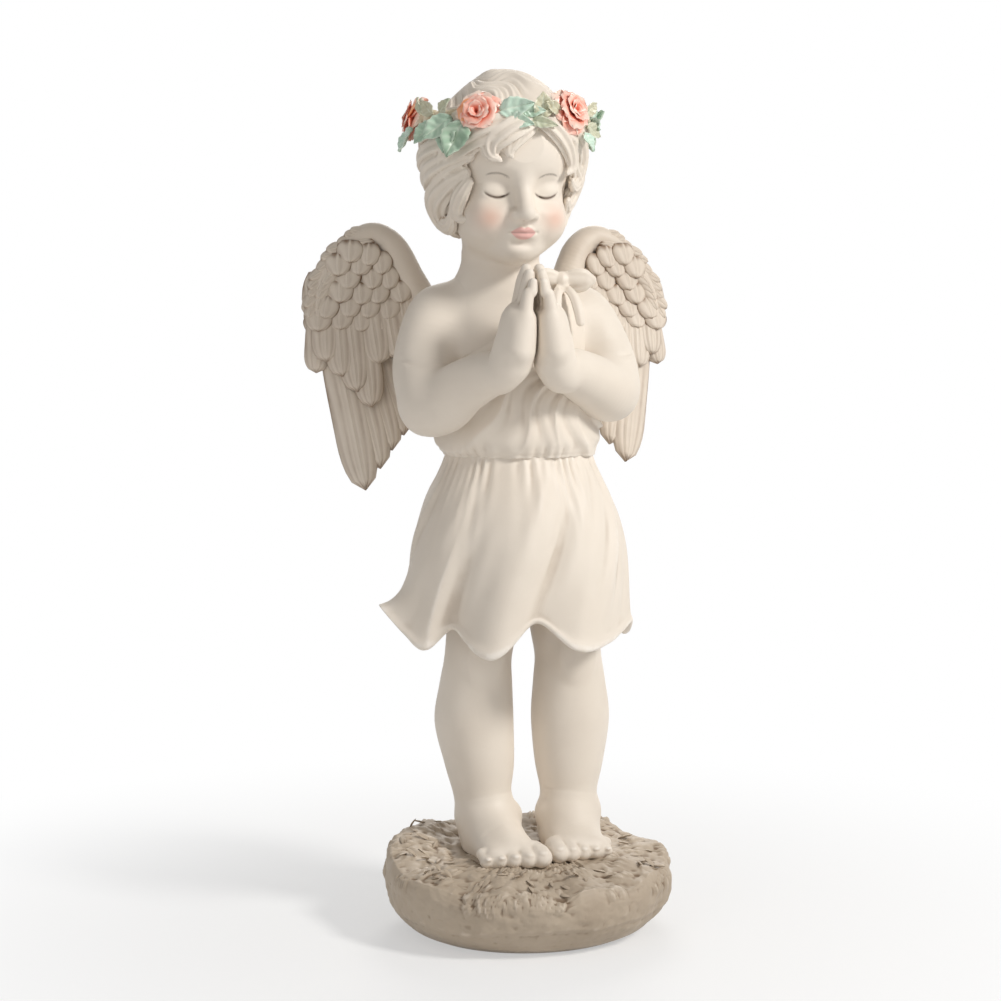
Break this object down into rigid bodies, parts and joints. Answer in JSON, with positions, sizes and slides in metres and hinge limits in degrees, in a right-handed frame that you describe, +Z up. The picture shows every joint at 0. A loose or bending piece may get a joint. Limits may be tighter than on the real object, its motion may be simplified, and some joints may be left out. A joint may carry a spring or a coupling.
{
  "type": "praying cherub garden statuette",
  "caption": "Standing winged cherub in a draped dress with praying hands and a wreath of roses, on a rock base; a hollow cast resin garden ornament.",
  "frame": {"origin": "middle of the flat underside of the base", "axes": "+Z up; the figure faces -Y; its right hand is at -X"},
  "size_m": [0.2449, 0.1881, 0.54],
  "materials": {
    "figure_resin": "matt ivory paint over cast resin",
    "wing_resin": "matt ivory paint with a brown wash in the feather grooves",
    "rock_resin": "stone-coloured paint with a brown wash",
    "rose_paint": "satin coral paint",
    "leaf_paint": "satin mint green paint, dry-brushed pale on the edges",
    "vine_paint": "satin beige paint",
    "rod_steel": "plain steel",
    "dowel_wood": "plain beech dowel",
    "stopper_rubber": "soft rubber"
  },
  "bodies": {
    "root": {"base_shell": "rock_resin", "base_plate": "rock_resin", "drain_plug": "stopper_rubber", "right_leg": "figure_resin", "left_leg": "figure_resin", "right_leg_rod": "rod_steel", "left_leg_rod": "rod_steel", "skirt": "figure_resin", "bodice": "figure_resin", "shoulder_bow": "figure_resin", "right_arm": "figure_resin", "left_arm": "figure_resin", "right_arm_dowel": "dowel_wood", "left_arm_dowel": "dowel_wood", "neck_dowel": "dowel_wood", "head": "figure_resin", "hair": "figure_resin", "wreath_vine": "vine_paint", "rose_front": "rose_paint", "rose_right": "rose_paint", "rose_back_right": "rose_paint", "rose_back_left": "rose_paint", "rose_left": "rose_paint", "wreath_leaves": "leaf_paint", "right_wing": "wing_resin", "left_wing": "wing_resin", "right_wing_pins": "rod_steel", "left_wing_pins": "rod_steel"}
  },
  "joints": []
}
